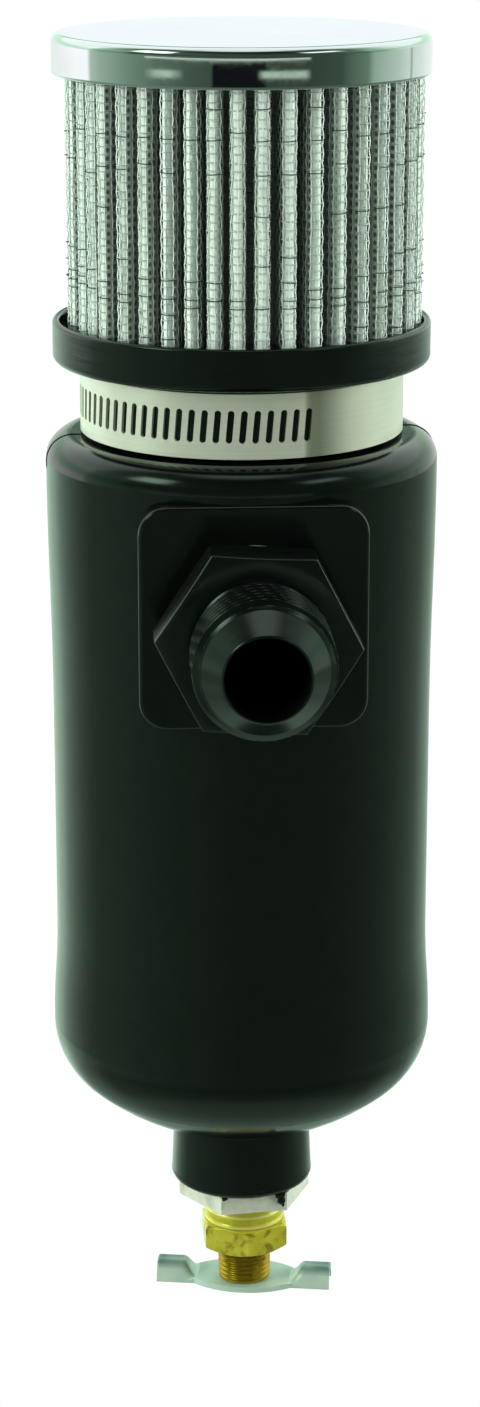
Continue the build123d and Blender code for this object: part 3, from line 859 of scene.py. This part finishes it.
def handle_mesh():
    """Pressed handle: a strip with bowed sides whose ends are arched; the lower skin is drawn in by the sheet's thickness."""
    wing, mid, end, hole, rise, tipx, t = 3.75, 7.1, 10.5, 3.62, 3.1, 18.8, 1.2
    big = (end ** 2 + (mid - wing) ** 2) / (2 * (mid - wing))
    zb = -107.8
    xc = 6.2

    def half(x):
        x = abs(x)
        return wing if x >= end else mid - big + math.sqrt(big * big - x * x)

    def skins(x, y):
        k = min(1.0, max(0.0, (abs(x) - 9.9) / 3.4))
        k = k * k * (3 - 2 * k)
        q_ = min(1.0, abs(y) / half(x))
        a_ = 1 - 0.93 * q_ ** 3.2
        tip_ = min(1.0, max(0.0, (tipx - abs(x)) / 0.5))
        top_ = zb + t * ((1 - k) + k * a_) + rise * k * a_ - 0.12 * (1 - tip_) ** 2
        q2 = min(1.0, abs(y) / (half(x) - t * 0.9 * k))
        return top_, min(zb + rise * k * (1 - q2 ** 3.2), top_ - 0.2)

    ny = 26
    us = [math.sin(math.pi / 2 * (2 * j / ny - 1)) for j in range(ny + 1)]
    na = 30
    xs_in = [xc - 2 * xc * i / na for i in range(1, na)]
    hc = half(xc)
    outline = [(xc, hc * q_) for q_ in us] + [(x, half(x)) for x in xs_in] + [(-xc, hc * q_) for q_ in reversed(us)] + [(-x, -half(x)) for x in xs_in]
    plan, faces = [], []
    nr, no = 4, len(outline)
    for k in range(nr + 1):
        for x, y in outline:
            d = math.hypot(x, y)
            r = hole + (d - hole) * k / nr
            plan.append((x / d * r, y / d * r))
    for k in range(nr):
        for i in range(no):
            j = (i + 1) % no
            faces.append((k * no + i, (k + 1) * no + i, (k + 1) * no + j, k * no + j))
    nx = 44
    for s_ in (1, -1):
        base = len(plan)
        for i in range(nx + 1):
            x = xc + (tipx - xc) * i / nx
            for q_ in us:
                plan.append((s_ * x, half(x) * q_))
        for i in range(nx):
            for j in range(ny):
                q = base + i * (ny + 1) + j
                f4 = (q, q + ny + 1, q + ny + 2, q + 1)
                faces.append(f4 if s_ > 0 else tuple(reversed(f4)))
    plan3, faces = weld([(x, y, 0.0) for x, y in plan], faces, 1e-3)
    top = [(x, y, skins(x, y)[0]) for x, y, _ in plan3]
    low = [(x, y, skins(x, y)[1]) for x, y, _ in plan3]
    n = len(top)
    edges = {}
    for f4 in faces:
        for i in range(len(f4)):
            edges[(f4[i], f4[(i + 1) % len(f4)])] = True
    all_f = list(faces) + [tuple(n + i for i in reversed(f4)) for f4 in faces]
    for (a_, b_) in edges:
        if (b_, a_) not in edges:
            all_f.append((b_, a_, n + a_, n + b_))
    c, sn = math.cos(rad(-9.5)), math.sin(rad(-9.5))
    verts = [(x * c - y * sn + DX, x * sn + y * c, z) for x, y, z in top + low]
    return verts, all_f


v, f = handle_mesh()
handle = finish_mesh("drain_handle_pressed", v, f, M["zinc"], 45)
m = handle.modifiers.new("edge", "BEVEL")
m.width = 0.12 * MM
m.segments = 2
m.limit_method = "ANGLE"
m.angle_limit = rad(60)
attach(handle, "handle")
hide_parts("drain_handle")

# ------------------------------------------------------------------ stage: floor, light, camera
scene = bpy.context.scene
fl = bpy.data.meshes.new("floor")
S = 14.0
fl.from_pydata([(-S, -S, -0.42), (S, -S, -0.42), (S, S, -0.42), (-S, S, -0.42)], [], [(0, 1, 2, 3)])
floor = bpy.data.objects.new("floor", fl)
scene.collection.objects.link(floor)
fm = bpy.data.materials.new("floor_pale")
fm.use_nodes = True
nt = fm.node_tree
em = nt.nodes.new("ShaderNodeEmission")
em.inputs["Color"].default_value = (1, 1, 1, 1)
em.inputs["Strength"].default_value = 1.02
nt.links.new(em.outputs[0], nt.nodes["Material Output"].inputs["Surface"])
fl.materials.append(fm)
floor.visible_glossy = False
floor.visible_diffuse = False
floor.visible_transmission = False
floor.visible_shadow = False

world = bpy.data.worlds.new("studio")
scene.world = world
world.use_nodes = True
wt = world.node_tree
bg = wt.nodes["Background"]
tc = wt.nodes.new("ShaderNodeTexCoord")
sx = wt.nodes.new("ShaderNodeSeparateXYZ")
wt.links.new(tc.outputs["Generated"], sx.inputs[0])


def wmath(op, a, b=None, c=None, clamp=False):
    n = wt.nodes.new("ShaderNodeMath")
    n.operation = op
    n.use_clamp = clamp
    for i, q in enumerate((a, b, c)):
        if q is None:
            continue
        if hasattr(q, "links"):
            wt.links.new(q, n.inputs[i])
        else:
            n.inputs[i].default_value = q
    return n.outputs[0]


def wramp(fac, stops):
    r = wt.nodes.new("ShaderNodeValToRGB")
    e = r.color_ramp.elements
    while len(e) < len(stops):
        e.new(0.5)
    for el, (p, c) in zip(e, stops):
        el.position = p
        el.color = (*c, 1.0)
    wt.links.new(fac, r.inputs["Fac"])
    return r.outputs["Color"]


def tint(val):
    t = min(1.0, max(0.0, (val - 0.30) / 1.0))
    g = (0.62 + 0.38 * t, 1.0, 0.70 + 0.30 * t)
    return tuple(val * q for q in g)


u = wmath("ADD", wmath("DIVIDE", wmath("ARCTAN2", sx.outputs[0], sx.outputs[1]), 2 * math.pi), 0.5)
TURN = 3.45 / 360.0
left = [(0, 0.07), (25, 0.10), (38, 0.13), (57, 0.20), (79, 0.36), (100, 0.58), (109, 0.74), (112, 1.44), (125, 1.42), (150, 1.2), (170, 1.06)]
right = [(168, 1.06), (150, 1.13), (138, 1.14), (117.4, 1.0), (116.4, 0.50), (115.2, 0.50), (114.2, 1.0), (101, 0.80), (84, 0.60), (79, 0.54), (74, 0.27), (60, 0.16), (55, 0.10), (30, 0.07)]
stops = [(min(1.0, max(0.0, a / 360 - TURN)), tint(q)) for a, q in left] + [(1 - a / 360 - TURN, tint(q)) for a, q in right] + [(1.0, tint(0.07))]
az = wramp(u, stops)


def cool(val):
    return (val * 0.72, val, val * 0.79)


left2 = [(0, 0.135), (37, 0.20), (67, 0.265), (91, 0.32), (109, 0.33), (118, 0.46), (126.6, 0.62), (139, 0.88), (151, 1.25)]
right2 = [(150, 0.66), (136, 0.60), (127, 0.43), (108, 0.32), (90, 0.225), (60, 0.15), (30, 0.135)]
stops2 = [(min(1.0, max(0.0, a / 360 - TURN)), cool(q)) for a, q in left2] + [(1 - a / 360 - TURN, cool(q)) for a, q in right2] + [(1.0, cool(0.135))]
az2 = wramp(u, stops2)
el = wmath("ADD", wmath("MULTIPLY", wmath("ARCSINE", sx.outputs[2]), 1 / math.pi), 0.5)
which = wramp(el, [(0.0, (1, 1, 1)), (0.5 - 10.0 / 180, (1, 1, 1)), (0.5 - 8.9 / 180, (0, 0, 0)), (1.0, (0, 0, 0))])
vert = wramp(el, [(0.0, (0.10,) * 3), (0.22, (0.14,) * 3), (0.31, (0.75,) * 3), (0.345, (1.22,) * 3), (0.372, (1.05,) * 3), (0.39, (1.0,) * 3), (0.66, (1.0,) * 3), (0.76, (0.45,) * 3), (0.85, (0.22,) * 3), (1.0, (0.15,) * 3)])
blend = wt.nodes.new("ShaderNodeMix")
blend.data_type = "RGBA"
wt.links.new(which, blend.inputs[0])
wt.links.new(az, blend.inputs[6])
wt.links.new(az2, blend.inputs[7])
mx = wt.nodes.new("ShaderNodeMix")
mx.data_type = "RGBA"
mx.blend_type = "MULTIPLY"
mx.inputs[0].default_value = 1.0
wt.links.new(blend.outputs[2], mx.inputs[6])
wt.links.new(vert, mx.inputs[7])


def wmix(fac, c1, c2, mode="ADD"):
    n = wt.nodes.new("ShaderNodeMix")
    n.data_type = "RGBA"
    n.blend_type = mode
    for sock, q in ((n.inputs[0], fac), (n.inputs[6], c1), (n.inputs[7], c2)):
        if hasattr(q, "links"):
            wt.links.new(q, sock)
        elif isinstance(q, tuple):
            sock.default_value = (*q, 1.0)
        else:
            sock.default_value = q
    return n.outputs[2]


def e01(deg):
    return deg / 180.0 + 0.5


rel = wmath("ADD", wmath("MULTIPLY", wmath("ARCTAN2", sx.outputs[0], wmath("MULTIPLY", sx.outputs[1], -1.0)), 180 / math.pi), 3.45)
e_deg = wmath("MULTIPLY", wmath("ARCSINE", sx.outputs[2]), 180 / math.pi)
# the pale floor, seen from above: dim in front of the object, light behind it
glow = wramp(el, [(0.0, (0.30, 0.42, 0.32)), (e01(-58), (0.30, 0.42, 0.32)), (e01(-49), (0.13, 0.18, 0.14)), (e01(-36), (0.0, 0.0, 0.0)), (1.0, (0.0, 0.0, 0.0))])
sky = wmix(1.0, mx.outputs[2], glow)
behind = wmath("DIVIDE", wmath("SUBTRACT", wmath("ABSOLUTE", rel), 105.0), 25.0, clamp=True)
below = wmath("DIVIDE", wmath("SUBTRACT", -32.0, e_deg), 8.0, clamp=True)
sky = wmix(wmath("MULTIPLY", behind, below), sky, (0.34, 0.48, 0.38), "MIX")


def box(val, lo_, hi_, soft):
    up = wmath("DIVIDE", wmath("SUBTRACT", val, lo_), soft, clamp=True)
    dn = wmath("DIVIDE", wmath("SUBTRACT", hi_, val), soft, clamp=True)
    return wmath("MULTIPLY", up, dn)


# plain light strips of the studio, low in front
strip1 = wmath("MULTIPLY", box(rel, -60, 42, 1.5), box(e_deg, -3.0, -1.3, 0.3))
strip2 = wmath("MULTIPLY", wmath("ADD", box(rel, -60, -34, 9.0), box(rel, 9, 42, 4.0)), box(e_deg, -6.5, -4.9, 0.4))
dark = wmath("MULTIPLY", box(rel, -18, 15, 1.5), box(e_deg, -9.2, -3.3, 0.3))
dim = wmath("MULTIPLY", box(rel, -75, 60, 6.0), box(e_deg, 4.0, 24.0, 3.0))
sky = wmix(dim, sky, (0.06, 0.075, 0.065), "MIX")
sky = wmix(dark, sky, (0.008, 0.009, 0.011), "MIX")
sky = wmix(wmath("MULTIPLY", strip1, 0.95), sky, (0.78, 0.95, 0.78), "MIX")
sky = wmix(wmath("MULTIPLY", strip2, 0.9), sky, (0.62, 0.80, 0.62), "MIX")
# the two softboxes as a polished surface shows them
boxes = wmath("ADD", wmath("MULTIPLY", wmath("MULTIPLY", box(rel, -78, -45, 9.0), box(e_deg, 27, 50, 6.0)), 4.6),
              wmath("MULTIPLY", wmath("MULTIPLY", box(rel, 40, 76, 9.0), box(e_deg, 34, 50, 6.0)), 1.9))
halo = wmath("ADD", wmath("MULTIPLY", box(rel, -76, -47, 3.0), box(e_deg, 22, 72, 4.0)), wmath("MULTIPLY", box(rel, 40, 76, 3.0), box(e_deg, 26, 72, 4.0)))
lit = wt.nodes.new("ShaderNodeCombineColor")
for i, g in enumerate((0.84, 1.0, 0.88)):
    wt.links.new(wmath("MULTIPLY", wmath("ADD", boxes, wmath("MULTIPLY", halo, 0.06)), g), lit.inputs[i])
sky = wmix(1.0, sky, lit.outputs[0])
# white ceiling, and the pale wall behind as the cap's top shows it
ceiling = wmath("DIVIDE", wmath("SUBTRACT", e_deg, 66.0), 14.0, clamp=True)
sky = wmix(ceiling, sky, (1.10, 1.20, 1.15), "MIX")
away = wmath("ABSOLUTE", rel)
back = wmath("DIVIDE", wmath("SUBTRACT", away, 95.0), 30.0, clamp=True)
sky = wmix(wmath("MULTIPLY", back, box(e_deg, 1.0, 75.0, 1.5)), sky, (1.30, 1.36, 1.34), "MIX")
sky = wmix(wmath("MULTIPLY", wmath("DIVIDE", wmath("SUBTRACT", away, 60.0), 10.0, clamp=True), box(e_deg, 0.5, 62.0, 1.5)), sky, (0.95, 1.0, 0.96), "MULTIPLY")
sky = wmix(wmath("MULTIPLY", wmath("DIVIDE", wmath("SUBTRACT", away, 60.0), 10.0, clamp=True), box(e_deg, 0.5, 19.0, 3.0)), sky, (0.64, 0.84, 0.66), "MULTIPLY")
sky = wmix(wmath("MULTIPLY", wmath("DIVIDE", wmath("SUBTRACT", away, 171.0), 3.0, clamp=True), box(e_deg, 9.0, 34.0, 2.0)), sky, (0.12, 0.20, 0.14), "MIX")
sky = wmix(wmath("MULTIPLY", wmath("DIVIDE", wmath("SUBTRACT", away, 100.0), 20.0, clamp=True), box(e_deg, 3.2, 7.4, 0.5)), sky, (1.02, 1.08, 1.12), "MIX")
# beyond the floor's edge the camera sees the same pale studio
path = wt.nodes.new("ShaderNodeLightPath")
sky = wmix(path.outputs["Is Camera Ray"], sky, (1.02, 1.02, 1.02), "MIX")
wt.links.new(sky, bg.inputs["Color"])
bg.inputs["Strength"].default_value = 1.0


def area(name, azim, elev, dist, w, h, power, color=(1, 1, 1), aim=(0, 0, 0.03)):
    li = bpy.data.lights.new(name, "AREA")
    li.shape = "RECTANGLE"
    li.size, li.size_y = w, h
    li.energy = power
    li.color = color
    ob = bpy.data.objects.new(name, li)
    a, e = rad(azim), rad(elev)
    ob.location = Vector(aim) + Vector((math.sin(a) * math.cos(e), -math.cos(a) * math.cos(e), math.sin(e))) * dist
    ob.rotation_mode = "QUATERNION"
    ob.rotation_quaternion = (Vector(aim) - ob.location).to_track_quat("-Z", "Y")
    ob.visible_camera = False
    ob.visible_glossy = False
    scene.collection.objects.link(ob)
    return ob


area("softbox_left", -74, 8, 1.3, 0.70, 0.9, 24.0)
area("softbox_right", 80, 8, 1.3, 0.70, 0.9, 25.0)
area("softbox_top", 0, 52, 1.3, 0.9, 0.6, 1.5)
area("fill_front", -5, 4, 1.6, 0.9, 0.6, 5.0)

cam_d = bpy.data.cameras.new("camera")
cam_d.sensor_fit = "AUTO"
cam_d.sensor_width = 36.0
cam_d.lens = 36.0 * 3200.0 / 1407.0
cam_d.clip_start, cam_d.clip_end = 0.01, 60.0
cam = bpy.data.objects.new("camera", cam_d)
cam.location = (-0.0381, -0.63185, 0.213)
cam.rotation_euler = (rad(90 - 16.7), 0, rad(-3.423))
scene.collection.objects.link(cam)
scene.camera = cam

scene.view_settings.view_transform = "Standard"
scene.view_settings.look = "None"
scene.view_settings.exposure = 0.0
scene.view_settings.gamma = 1.0
